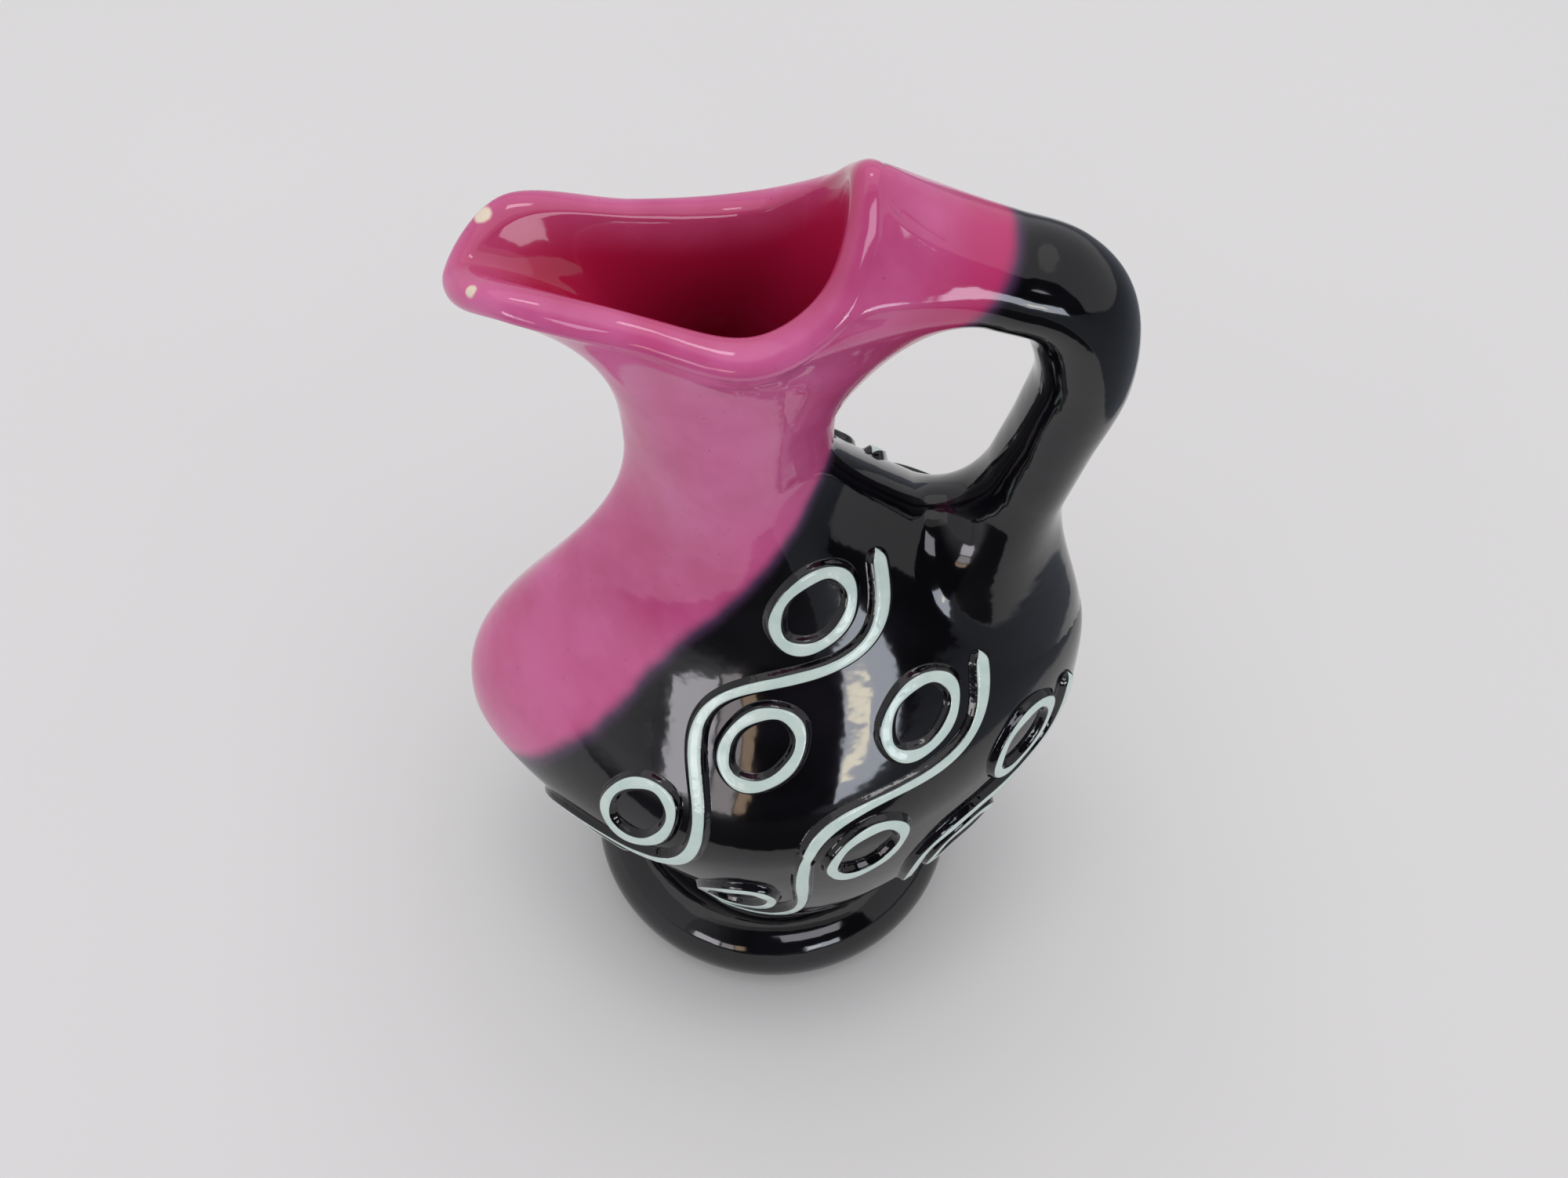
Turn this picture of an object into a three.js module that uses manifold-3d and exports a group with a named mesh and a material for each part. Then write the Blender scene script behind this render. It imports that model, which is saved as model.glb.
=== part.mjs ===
// A ceramic jug with a leaning neck, a drawn-out spout and a loop handle, stood on a rolled foot.
// Each clay piece that a potter forms by itself is one mesh: the foot, the belly, the neck and the
// handle are luted together, and the slip lines are trailed onto the belly. Millimetres, +Z up, the
// spout points to -X, the handle to +X, and the origin is under the middle of the jug.
import * as THREE from "three";
import { mergeVertices } from "three/addons/utils/BufferGeometryUtils.js";
import Module from "manifold-3d";

// Driving dimensions
const GAP = 0.3; // luting gap left between neighbouring pieces
const WALL = 5; // wall of the belly, and of the neck at its throat
const FLOOR = 7; // thickness of the belly's floor

const FOOT_RADIUS = 45;
const FOOT_HEIGHT = 24;
const FOOT_ROLL = 12; // how far the rolled edge stands out
const FOOT_RING = 9; // width of the ring that the jug stands on
const FOOT_RECESS = 4; // depth of the hollow inside that ring
const SEAT_OVERHANG = 3; // how far the belly's underside reaches past the foot's flat top

const BELLY_SPOUT_SIDE = 69; // reach of the belly towards the spout
const BELLY_HANDLE_SIDE = 69; // reach of the belly towards the handle
const BELLY_HALF_DEPTH = 51;
const BELLY_SPOUT_LEVEL = 80; // height of the widest place on the spout's side
const BELLY_HANDLE_LEVEL = 93; // and on the handle's side
const SPOUT_SIDE_FORM = { bowl: 0.55, shoulder: 0.7 }; // how full the belly is below and above
const HANDLE_SIDE_FORM = { bowl: 0.85, shoulder: 1.2 }; // its widest place, on each side
const DEPTH_FORM = { bowl: 1.3, shoulder: 0.45 }; // and from front to back
const BELLY_TURN = 0.4; // how roundly it turns at the widest place
const BELLY_EASE = 0.06; // how gently its curves set in there
const BELLY_TAPER = 0.4; // how much the belly narrows towards the spout and the handle, 0 for an oval
const BOWL_LEAN = 4.5; // how far the bowl below leans to the handle

const THROAT_HEIGHT = 175; // the narrowest place, where the neck is luted on
const THROAT_SPOUT_SIDE = 28;
const THROAT_HANDLE_SIDE = 12.5;
const THROAT_HALF_DEPTH = 17;
const THROAT_RISE = 55; // how far the neck goes straight up before it flares

const LIP_RADIUS = 3.4; // roll of the rim
// The rim from the handle round one side to the spout: the middle of the lip, its height counted from
// the throat, and how the wall below leans there.
const RIM = [
  { place: [17, 0, 69.4], lean: [6, 0, 50] },
  { place: [16.2, 7.2, 63.3], lean: [9, 6, 44] },
  { place: [11, 14, 52.8], lean: [10, 12, 34] },
  { place: [-3, 17.2, 43.9], lean: [-2, 13, 28] },
  { place: [-22, 13.3, 46.7], lean: [-14, 11, 30] },
  { place: [-43, 10.7, 51.8], lean: [-46, 16, 40] },
  { place: [-52.8, 0, 45.5], lean: [-70, 0, 10] },
];

// The handle's middle line from the bridge to the belly, in x and height above the throat, with half of its
// thickness seen from the front.
const HANDLE_PATH = [
  [40.8, 47.8, 10], [50.4, 43.6, 9.7], [55.8, 35.2, 10.8],
  [57.9, 20.3, 8.7], [54.7, 3.6, 7.9], [51.3, -11, 8.6],
];
const HANDLE_HALF_DEPTH = 11; // and seen from the side
// Where the handle grows out of the neck and out of the belly. Each line of the bar runs on to the surface,
// then out over it: how far, and how roundly it turns there, on the handle's outer side, at its flanks and on
// its inner side. Fan is how widely these lines spread, and limit is as high as they go. Level and spread are
// a first guess of the place.
const BRIDGE_ROOT = {
  outer: [11, 1.7], flank: [11, 1.5], inner: [42, 0.8], fan: 0.4, limit: 1.4,
  end: 0, level: 0.75, spread: 0.075,
};
const LOWER_ROOT = {
  outer: [30, 1.7], flank: [14, 1.7], inner: [14, 1.7], fan: 1, limit: 1,
  end: 1, level: 0.5, spread: 0.05,
};
const ROOT_SINK = 1; // depth that the root is sunk before it is cut to fit

const SLIP_WIDTH = 3.4; // width of a trailed slip line
const SLIP_HEIGHT = 1.6; // how far it stands up from the belly
const SLIP_SPACE = 3.6; // least space between a wave and its rings
const WAVE_HEIGHT = 9; // how far a wave swings to each side
const RING_HALF_LENGTH = 9.6;
const RING_HALF_HEIGHT = 7;
const RING_LEAN = 0.05; // tilt of the rings in radians
const GLAZE_HEIGHT = 157; // height of the slanting edge between the two glazes, over the origin
const GLAZE_SLOPE = 1.33; // its climb towards the handle
// The wave bands of one side, which run along the glaze edge: their distance below it, the angles where
// they start and end, counted from the handle, and their bays. Each bay holds a ring.
const BANDS = [
  { name: "upper", drop: 19, from: 0.8, to: 2.66, bays: 4 },
  { name: "middle", drop: 53, from: 0.82, to: 1.94, bays: 3 },
  { name: "lower", drop: 85, from: 0.34, to: 1.1, bays: 2 },
];

const RING_SIDES = 40; // facets round the belly and the neck
const HANDLE_SIDES = 20; // facets round the handle
const SLIP_STEPS = 16; // steps along a slip ring, and along two bays of a wave
const ROOT_STEPS = 30; // steps of a handle's line over a surface

const SEAT_RADIUS = FOOT_RADIUS - FOOT_ROLL + SEAT_OVERHANG;

// Belly surface: level runs from -1 at the seat, through 0 at the widest place, to 1 at the throat. The
// curves are bent by a power, which sets in gently so that the widest place stays round.
function eased(share, power) {
  const bent = (value) => (value + BELLY_EASE) ** power - BELLY_EASE ** power;
  return bent(share) / bent(1);
}

function reach(level, widest, throat, form) {
  const drawn = (Math.hypot(level, BELLY_TURN) - BELLY_TURN) / (Math.hypot(1, BELLY_TURN) - BELLY_TURN);
  if (level < 0) {
    return THREE.MathUtils.lerp(widest, SEAT_RADIUS, eased(drawn, form.bowl));
  }
  const turn = Math.PI * Math.sqrt(eased(drawn, 2 * form.shoulder));
  return THREE.MathUtils.lerp(widest, throat, 0.5 - 0.5 * Math.cos(turn));
}

const height = (level, widest) =>
  THREE.MathUtils.lerp(widest, level < 0 ? FOOT_HEIGHT + GAP : THROAT_HEIGHT, Math.abs(level));

function bellyPoint(level, angle) {
  const across = (1 + Math.cos(angle)) / 2;
  const depth = reach(level, BELLY_HALF_DEPTH, THROAT_HALF_DEPTH, DEPTH_FORM);
  const lean = BOWL_LEAN * Math.sin(Math.PI * Math.min(level, 0)) ** 2;
  return new THREE.Vector3(
    lean + THREE.MathUtils.lerp(
      -reach(level, BELLY_SPOUT_SIDE, THROAT_SPOUT_SIDE, SPOUT_SIDE_FORM),
      reach(level, BELLY_HANDLE_SIDE, THROAT_HANDLE_SIDE, HANDLE_SIDE_FORM), across),
    depth * Math.sin(angle) * (1 - BELLY_TAPER * Math.cos(angle) ** 2),
    THREE.MathUtils.lerp(
      height(level, BELLY_SPOUT_LEVEL), height(level, BELLY_HANDLE_LEVEL), across));
}

// Rim curves, closed by mirroring the given side.
const mirrored = (points) => [
  ...points,
  ...points.slice(1, -1).reverse().map(([x, y, z]) => [x, -y, z]),
].map((point) => new THREE.Vector3(...point));
const rimPlaces = new THREE.CatmullRomCurve3(mirrored(RIM.map((r) => r.place)), true, "catmullrom");
const rimLeans = new THREE.CatmullRomCurve3(mirrored(RIM.map((r) => r.lean)), true, "catmullrom");

// Outer edge of the wall just below the lip, and the lean of the wall there.
function rimEdge(angle) {
  const turn = THREE.MathUtils.euclideanModulo(angle / (2 * Math.PI), 1);
  const lean = rimLeans.getPoint(turn);
  const away = rimPlaces.getTangent(turn).cross(lean).normalize();
  const edge = rimPlaces.getPoint(turn).addScaledVector(away, LIP_RADIUS);
  edge.z += THROAT_HEIGHT;
  return [edge, lean];
}

// Wall of the neck: rise runs from 0 at the throat to 1 where the lip's roll begins.
function wallPoint(rise, angle) {
  const [edge, lean] = rimEdge(angle);
  const r2 = rise * rise;
  const r3 = r2 * rise;
  return bellyPoint(1, angle).multiplyScalar(2 * r3 - 3 * r2 + 1)
    .addScaledVector(new THREE.Vector3(0, 0, THROAT_RISE), r3 - 2 * r2 + rise)
    .addScaledVector(edge, 3 * r2 - 2 * r3)
    .addScaledVector(lean, r3 - r2);
}

const STEP = 1e-3; // step for slopes of a surface
const slopes = (surface, along, angle) => [
  surface(along + STEP, angle).sub(surface(along - STEP, angle)).divideScalar(2 * STEP),
  surface(along, angle + STEP).sub(surface(along, angle - STEP)).divideScalar(2 * STEP),
];

function outward(surface, along, angle) {
  const [up, round] = slopes(surface, along, angle);
  return round.cross(up).normalize();
}

const offset = (surface, along, angle, distance) =>
  surface(along, angle).addScaledVector(outward(surface, along, angle), distance);

// Roll of the lip, where a turn of 0 is its outer edge and half a turn its inner one
function lipPoint(turn, angle, radius = LIP_RADIUS) {
  const along = slopes(wallPoint, 1, angle)[0].normalize();
  return offset(wallPoint, 1, angle, radius * Math.cos(turn) - LIP_RADIUS)
    .addScaledVector(along, radius * Math.sin(turn));
}

// Neck surface: the wall up to a rise of 1, and the roll of the lip from there to 2
const neckPoint = (rise, angle) =>
  rise <= 1 ? wallPoint(rise, angle) : lipPoint((rise - 1) * Math.PI, angle);

// Place numbers on a surface after a short move over it
function moved(surface, along, angle, move) {
  const [up, round] = slopes(surface, along, angle);
  const slant = up.dot(round);
  const area = up.lengthSq() * round.lengthSq() - slant * slant;
  const rise = move.dot(up);
  const ahead = move.dot(round);
  return [
    along + (rise * round.lengthSq() - ahead * slant) / area,
    angle + (ahead * up.lengthSq() - rise * slant) / area,
  ];
}

// Where a straight line from a base meets a surface, and how far off that is
function meeting(surface, along, angle, base, heading) {
  let distance = 0;
  for (let i = 0; i < 12; i++) {
    const [up, round] = slopes(surface, along, angle);
    const gap = base.clone().addScaledVector(heading, distance).sub(surface(along, angle));
    const sides = new THREE.Matrix3().set(
      up.x, round.x, -heading.x, up.y, round.y, -heading.y, up.z, round.z, -heading.z);
    gap.applyMatrix3(sides.invert());
    along += gap.x;
    angle += gap.y;
    distance += gap.z;
  }
  return [along, angle, distance];
}

const spread = (count, from, to) =>
  Array.from({ length: count }, (_, i) => from + (to - from) * i / (count - 1));

const ringOf = (sides, point) =>
  Array.from({ length: sides }, (_, i) => point(2 * Math.PI * i / sides));

// Closed skin over rings that all have as many points. A looped skin joins its last ring to its first,
// any other skin is capped by a fan at each end.
function skin(rings, looped = false) {
  const sides = rings[0].length;
  const points = rings.flat();
  const faces = [];
  const bands = looped ? rings.length : rings.length - 1;
  for (let band = 0; band < bands; band++) {
    for (let i = 0; i < sides; i++) {
      const low = band * sides;
      const high = ((band + 1) % rings.length) * sides;
      const next = (i + 1) % sides;
      faces.push(low + i, low + next, high + next, low + i, high + next, high + i);
    }
  }
  if (!looped) {
    for (const [start, flip] of [[0, true], [(rings.length - 1) * sides, false]]) {
      const middle = points.length;
      points.push(points.slice(start, start + sides)
        .reduce((sum, p) => sum.add(p), new THREE.Vector3()).divideScalar(sides));
      for (let i = 0; i < sides; i++) {
        const next = (i + 1) % sides;
        faces.push(...(flip ? [middle, start + next, start + i] : [middle, start + i, start + next]));
      }
    }
  }
  const geometry = new THREE.BufferGeometry().setFromPoints(points);
  return geometry.setIndex(faces);
}

// Solids for cutting
const wasm = await Module();
wasm.setup();
function solid(geometry) {
  const bare = geometry.clone();
  bare.deleteAttribute("normal");
  bare.deleteAttribute("uv");
  const merged = mergeVertices(bare);
  return new wasm.Manifold(new wasm.Mesh({
    numProp: 3,
    vertProperties: merged.attributes.position.array,
    triVerts: new Uint32Array(merged.index.array),
  }));
}
function geometryOf(manifold) {
  const mesh = manifold.getMesh();
  return new THREE.BufferGeometry()
    .setAttribute("position", new THREE.BufferAttribute(mesh.vertProperties, 3))
    .setIndex(new THREE.BufferAttribute(mesh.triVerts, 1));
}

// Foot: a rolled ring with a hollow underside
function footGeometry() {
  const middle = FOOT_RADIUS - FOOT_ROLL;
  const roll = spread(9, -Math.PI / 2, Math.PI / 2)
    .map((turn) => new THREE.Vector2(
      middle + FOOT_ROLL * Math.cos(turn), FOOT_HEIGHT / 2 * (1 + Math.sin(turn))));
  const profile = [
    new THREE.Vector2(0, FOOT_RECESS),
    new THREE.Vector2(middle - FOOT_RING - FOOT_RECESS, FOOT_RECESS),
    new THREE.Vector2(middle - FOOT_RING, 0),
    ...roll,
    new THREE.Vector2(0, FOOT_HEIGHT),
  ];
  return new THREE.LatheGeometry(profile, RING_SIDES).rotateX(Math.PI / 2);
}

// Belly: an outer skin up to the throat, and an inner one down to the floor
function bellyGeometry() {
  const floor = FOOT_HEIGHT + GAP + FLOOR;
  const outer = [...spread(10, -1, 0), ...spread(14, 0, 1).slice(1)]
    .map((level) => ringOf(RING_SIDES, (angle) => bellyPoint(level, angle)));
  const inner = spread(16, 1, -1).map((level) => ringOf(RING_SIDES, (angle) => {
    const point = offset(bellyPoint, level, angle, -WALL);
    return point.setZ(Math.max(point.z, floor));
  }));
  return skin([...outer, ...inner]);
}

// Neck: an outer skin, the rolled lip and an inner skin, open at both ends
const lifted = (point) => point.add(new THREE.Vector3(0, 0, GAP));

const lipRings = (turns, radius) =>
  turns.map((turn) => ringOf(RING_SIDES, (angle) => lifted(lipPoint(turn, angle, radius))));

function neckGeometry() {
  const wall = (rise) => THREE.MathUtils.lerp(WALL, 2 * LIP_RADIUS, rise);
  const rises = spread(11, 0, 1);
  const outer = rises.map((rise) => ringOf(RING_SIDES, (angle) => lifted(wallPoint(rise, angle))));
  const lip = lipRings(spread(7, 0, Math.PI).slice(1, -1), LIP_RADIUS);
  const inner = rises.reverse().map((rise) =>
    ringOf(RING_SIDES, (angle) => lifted(offset(wallPoint, rise, angle, -wall(rise)))));
  return skin([...outer, ...lip, ...inner], true);
}

// Handle: a bar along its middle line, with a root on the neck and one on the belly
const handlePath = new THREE.CatmullRomCurve3(
  HANDLE_PATH.map(([x, height]) => new THREE.Vector3(x, 0, THROAT_HEIGHT + height)), false, "catmullrom");
const handleHalves = new THREE.CatmullRomCurve3(
  HANDLE_PATH.map(([, , half]) => new THREE.Vector3(half, 0, 0)), false, "catmullrom");

function handlePoint(along, angle) {
  const ahead = handlePath.getTangent(along);
  const away = ahead.clone().cross(new THREE.Vector3(0, 1, 0));
  return handlePath.getPoint(along)
    .addScaledVector(away, handleHalves.getPoint(along).x * Math.cos(angle))
    .addScaledVector(new THREE.Vector3(0, 1, 0), HANDLE_HALF_DEPTH * Math.sin(angle));
}

// One line of a root, from the surface at a share of 0 to the bar's end ring at 1
function rootLine(surface, root, angle) {
  const ring = handlePoint(root.end, angle);
  const down = handlePath.getTangent(root.end).multiplyScalar(2 * root.end - 1);
  const outer = Math.max(Math.cos(angle), 0) ** 1.5;
  const inner = Math.max(-Math.cos(angle), 0) ** 1.5;
  const [reachOut, turning] = root.flank.map((flank, i) =>
    flank + (root.outer[i] - flank) * outer + (root.inner[i] - flank) * inner);
  const aside = ring.clone().sub(handlePath.getPoint(root.end)).multiply(new THREE.Vector3(1, root.fan, 1));
  let [along, turn, distance] = meeting(surface, root.level, ring.y * root.spread, ring, down);
  for (let i = 0; i < ROOT_STEPS; i++) {
    aside.projectOnPlane(outward(surface, along, turn)).setLength(reachOut / ROOT_STEPS);
    [along, turn] = moved(surface, along, turn, aside);
    along = Math.min(along, root.limit);
  }
  aside.projectOnPlane(outward(surface, along, turn)).setLength(turning * reachOut);
  const landing = offset(surface, along, turn, -ROOT_SINK);
  return (share) => {
    const s2 = share * share;
    const s3 = s2 * share;
    return landing.clone().multiplyScalar(2 * s3 - 3 * s2 + 1)
      .addScaledVector(aside, 2 * s2 - s3 - share)
      .addScaledVector(ring, 3 * s2 - 2 * s3)
      .addScaledVector(down, turning * distance * (s2 - s3));
  };
}

function handleGeometry() {
  const shares = spread(8, 0, 1).slice(0, -1);
  const rootRings = (surface, root) => {
    const lines = ringOf(HANDLE_SIDES, (angle) => rootLine(surface, root, angle));
    return shares.map((share) => lines.map((line) => line(share)));
  };
  const tube = spread(17, 1, 0).map((along) =>
    ringOf(HANDLE_SIDES, (angle) => handlePoint(along, angle)));
  const lower = rootRings(bellyPoint, LOWER_ROOT);
  const bridge = rootRings(neckPoint, BRIDGE_ROOT).reverse();
  return geometryOf(solid(skin([...lower, ...tube, ...bridge])).subtract(solid(coreGeometry())));
}

// The closed space that the belly and the neck fill, with the luting gap round it
function coreGeometry() {
  const belly = spread(24, -1, 1)
    .map((level) => ringOf(RING_SIDES, (angle) => offset(bellyPoint, level, angle, GAP)));
  const neck = spread(11, 0, 1)
    .map((rise) => ringOf(RING_SIDES, (angle) => lifted(offset(wallPoint, rise, angle, GAP))));
  const lip = lipRings(spread(7, 0, Math.PI).slice(1, -2), LIP_RADIUS + GAP);
  return skin([...belly, ...neck, ...lip]);
}

// Slip lines: a rounded bead laid along a path on the belly, closed on itself where it is looped
function beadGeometry(path, steps, looped) {
  const half = SLIP_WIDTH / 2;
  const section = [[1, 0], [0.75, 0.65], [0, 1], [-0.75, 0.65], [-1, 0]];
  const rings = spread(steps + 1, 0, 1).slice(0, looped ? -1 : undefined).map((along) => {
    const [level, angle] = path(along);
    const away = outward(bellyPoint, level, angle);
    const ahead = bellyPoint(...path(along + STEP)).sub(bellyPoint(...path(along - STEP)));
    const side = away.clone().cross(ahead).normalize();
    return section.map(([across, up]) => bellyPoint(level, angle)
      .addScaledVector(side, half * across)
      .addScaledVector(away, GAP + SLIP_HEIGHT * up));
  });
  return skin(rings, looped);
}

// Level on the belly that lies so far below the glaze edge, found by halving
function bandLevel(drop, angle) {
  const target = GLAZE_HEIGHT - drop * Math.hypot(1, GLAZE_SLOPE);
  let low = -1;
  let high = 1;
  while (high - low > 1e-9) {
    const middle = (low + high) / 2;
    const point = bellyPoint(middle, angle);
    if (point.z - GLAZE_SLOPE * point.x < target) {
      low = middle;
    } else {
      high = middle;
    }
  }
  return [low, angle];
}

// A band's place at a share of its length, moved along the band and up from it
function bandPlaces(band, side) {
  const angles = spread(65, side * band.from, side * band.to);
  const points = angles.map((angle) => bellyPoint(...bandLevel(band.drop, angle)));
  const line = new THREE.CatmullRomCurve3(points);
  return (share, along, up) => {
    const turn = line.getUtoTmapping(share);
    const place = bandLevel(band.drop, THREE.MathUtils.lerp(angles[0], angles.at(-1), turn));
    const ahead = line.getTangentAt(share);
    const over = outward(bellyPoint, ...place).cross(ahead).normalize().multiplyScalar(-side);
    return moved(bellyPoint, ...place, ahead.multiplyScalar(along).addScaledVector(over, up));
  };
}

function waveGeometry(band, places) {
  const path = (along) => {
    const share = THREE.MathUtils.clamp(along, 0, 1);
    return places(share, 0, WAVE_HEIGHT * Math.sin(Math.PI * band.bays * share));
  };
  return beadGeometry(path, SLIP_STEPS / 2 * band.bays, false);
}

function slipRingGeometry(band, places, bay) {
  const crest = (-1) ** bay;
  const drop = RING_HALF_HEIGHT + SLIP_WIDTH + SLIP_SPACE - WAVE_HEIGHT;
  const lean = RING_LEAN * crest;
  const path = (along) => {
    const turn = 2 * Math.PI * along;
    const x = RING_HALF_LENGTH * Math.cos(turn);
    const y = RING_HALF_HEIGHT * Math.sin(turn);
    return places((bay + 0.5) / band.bays,
      x * Math.cos(lean) - y * Math.sin(lean),
      x * Math.sin(lean) + y * Math.cos(lean) - crest * drop);
  };
  return beadGeometry(path, SLIP_STEPS, true);
}

// Glazes and slip
const blackGlaze = { color: 0x14141a, roughness: 0.12, metalness: 0 };
const pinkGlaze = { color: 0xc04a86, roughness: 0.15, metalness: 0 };
const paleSlip = { color: 0xcddcd6, roughness: 0.3, metalness: 0 };

const jug = new THREE.Group();
function add(name, geometry, finish) {
  const mesh = new THREE.Mesh(geometry, new THREE.MeshStandardMaterial(finish));
  mesh.name = name;
  geometry.computeVertexNormals();
  jug.add(mesh);
}

add("foot", footGeometry(), blackGlaze);
add("belly", bellyGeometry(), blackGlaze);
add("neck", neckGeometry(), pinkGlaze);
add("handle", handleGeometry(), blackGlaze);
for (const [face, side] of [["front", -1], ["back", 1]]) {
  for (const band of BANDS) {
    const places = bandPlaces(band, side);
    add(`${face}_${band.name}_wave`, waveGeometry(band, places), paleSlip);
    for (let bay = 0; bay < band.bays; bay++) {
      add(`${face}_${band.name}_ring_${bay + 1}`, slipRingGeometry(band, places, bay), paleSlip);
    }
  }
}

export default jug;
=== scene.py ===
import math

import bpy
import numpy as np
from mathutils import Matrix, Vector


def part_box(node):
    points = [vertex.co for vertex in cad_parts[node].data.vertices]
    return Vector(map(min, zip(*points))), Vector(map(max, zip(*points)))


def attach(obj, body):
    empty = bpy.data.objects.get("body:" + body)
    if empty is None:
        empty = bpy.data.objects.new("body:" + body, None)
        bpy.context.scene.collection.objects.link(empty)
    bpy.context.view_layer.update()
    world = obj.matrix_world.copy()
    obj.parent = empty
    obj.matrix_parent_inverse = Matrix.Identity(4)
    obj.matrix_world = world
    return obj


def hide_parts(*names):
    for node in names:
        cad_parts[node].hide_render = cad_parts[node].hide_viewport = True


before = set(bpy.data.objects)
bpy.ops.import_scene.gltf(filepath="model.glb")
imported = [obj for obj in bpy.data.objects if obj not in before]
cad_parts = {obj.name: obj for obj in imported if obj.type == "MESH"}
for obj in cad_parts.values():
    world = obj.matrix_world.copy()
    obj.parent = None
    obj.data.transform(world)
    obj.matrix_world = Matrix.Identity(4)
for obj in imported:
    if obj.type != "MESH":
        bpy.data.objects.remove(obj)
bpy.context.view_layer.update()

# A hand-built ceramic jug: a rolled foot, an oval belly, a neck drawn out to a spout, a loop handle and
# slip lines trailed on the belly, under a black and a pink glaze. Metres, +Z up, spout to -X.

# Sizes that the frame gives
FOOT_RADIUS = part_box("foot")[1].x
FOOT_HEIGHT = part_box("foot")[1].z
BELLY_SPOUT_SIDE = -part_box("belly")[0].x
BELLY_HANDLE_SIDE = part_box("belly")[1].x
BELLY_HALF_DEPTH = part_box("belly")[1].y
SEAT_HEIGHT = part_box("belly")[0].z
THROAT_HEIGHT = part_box("belly")[1].z

# Foot
FOOT_ROLL = 0.012      # how far the rolled edge stands out
FOOT_RING = 0.009      # width of the ring that the jug stands on
FOOT_RECESS = 0.004    # depth of the hollow inside that ring
SEAT_RADIUS = FOOT_RADIUS - FOOT_ROLL + 0.003

# Belly: how full it is below and above its widest place, on each side
WALL = 0.005
FLOOR = 0.007
BELLY_SPOUT_LEVEL = 0.080
BELLY_HANDLE_LEVEL = 0.093
SPOUT_SIDE_FORM = (0.55, 0.7)
HANDLE_SIDE_FORM = (0.85, 1.2)
DEPTH_FORM = (1.3, 0.45)
BELLY_TURN = 0.4
BELLY_EASE = 0.06
SEAT_LEVEL = -0.98     # level below which the belly turns in to its seat
BELLY_TAPER = 0.4
BOWL_LEAN = 0.0045

# Neck: the rim from the handle round one side to the spout, counted up from the throat
THROAT_SPOUT_SIDE = 0.028
THROAT_HANDLE_SIDE = 0.0125
THROAT_HALF_DEPTH = 0.017
THROAT_RISE = 0.055
LIP_RADIUS = 0.0034
FOLD_PASSES = 60       # how often the inner wall is evened out, so that its corners don't fold
FOLD_FADE = 0.3        # rise up to which the inner wall goes over into that
LIP_PAINTED_SHADE = 0.55     # how much painted crimson shade the inner edge of the lip takes
INNER_SHADE_FADE = 0.2     # share of the inner wall over which that painted shade deepens to full crimson
RIM_PLACES = [
    (0.017, 0, 0.0694), (0.0162, 0.0072, 0.0633), (0.011, 0.014, 0.0528), (-0.003, 0.0172, 0.0439),
    (-0.022, 0.0133, 0.0467), (-0.043, 0.0107, 0.0518), (-0.0528, 0, 0.0455)]
RIM_LEANS = [
    (0.006, 0, 0.050), (0.009, 0.006, 0.044), (0.010, 0.012, 0.034), (-0.002, 0.013, 0.028),
    (-0.014, 0.011, 0.030), (-0.046, 0.016, 0.040), (-0.070, 0, 0.010)]

# Handle: its middle line in x and height above the throat, and its roots on the neck and the belly
HANDLE_PATH = [
    (0.0408, 0.0478), (0.0504, 0.0436), (0.0558, 0.0352),
    (0.0579, 0.0203), (0.0547, 0.0036), (0.0513, -0.011)]
HANDLE_HALF_WIDTHS = [0.010, 0.0100, 0.0101, 0.0091, 0.0083, 0.0085]
HANDLE_HALF_DEPTH = 0.011
# Each line of the bar runs on to the surface, then out over it: how far, and how roundly it turns there
BRIDGE_ROOT = {
    "end": 0, "outer": (0.011, 1.7), "flank": (0.011, 1.5), "inner": (0.042, 0.8),
    "fan": 0.4, "level": 0.75, "spread": 75, "limit": 1.4}
LOWER_ROOT = {
    "end": 1, "outer": (0.030, 1.7), "flank": (0.014, 1.7), "inner": (0.014, 1.7),
    "fan": 1.0, "level": 0.5, "spread": 50, "limit": 1.0}
ROOT_STEPS = 30
ROOT_SINK = 0.0001
UNDER_SINK = 0.001
ROOT_ROUNDING = 1.5    # how narrowly the outer and inner lines differ from the flanks
ROOT_SHADING = (0.04, 0.3)    # shares of a root over which its shading leaves the ground's
ROOT_GLAZE = (0.1, 0.6)       # shares of the bridge's root over which the handle's glaze edge takes over

# Slip lines: a flat-topped bead with glazed flanks, in wave bands that run along the glaze edge
SLIP_HALF_WIDTH = 0.0026
SLIP_HALF_FLAT = 0.0011
SLIP_HEIGHT = 0.0016
SLIP_ROOT = 0.0005
TIP_SHARPNESS = 1.25
SLIP_WIDTH = 0.0034
SLIP_SPACE = 0.0036
WAVE_HEIGHT = 0.009
RING_HALF_LENGTH = 0.0096
RING_HALF_HEIGHT = 0.007
RING_LEAN = 0.05
PLACE_STEPS = 8        # short moves that lead from a band's middle line to a place beside it
BANDS = {
    "upper": {"drop": 0.019, "from": 0.80, "to": 2.66, "bays": 4},
    "middle": {"drop": 0.053, "from": 0.82, "to": 1.94, "bays": 3},
    "lower": {"drop": 0.085, "from": 0.34, "to": 1.1, "bays": 2},
}

# Edges between the glazes: height over the origin, climb towards the handle, and how rosy the pink turns
# just above the edge
BODY_EDGE = (0.157, 1.33, 0.15)
HANDLE_EDGE = (0.1664, 1.6, 0.95)
EDGE_WIDTH = 0.0065
BLUSH_REACH = 0.022

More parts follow.
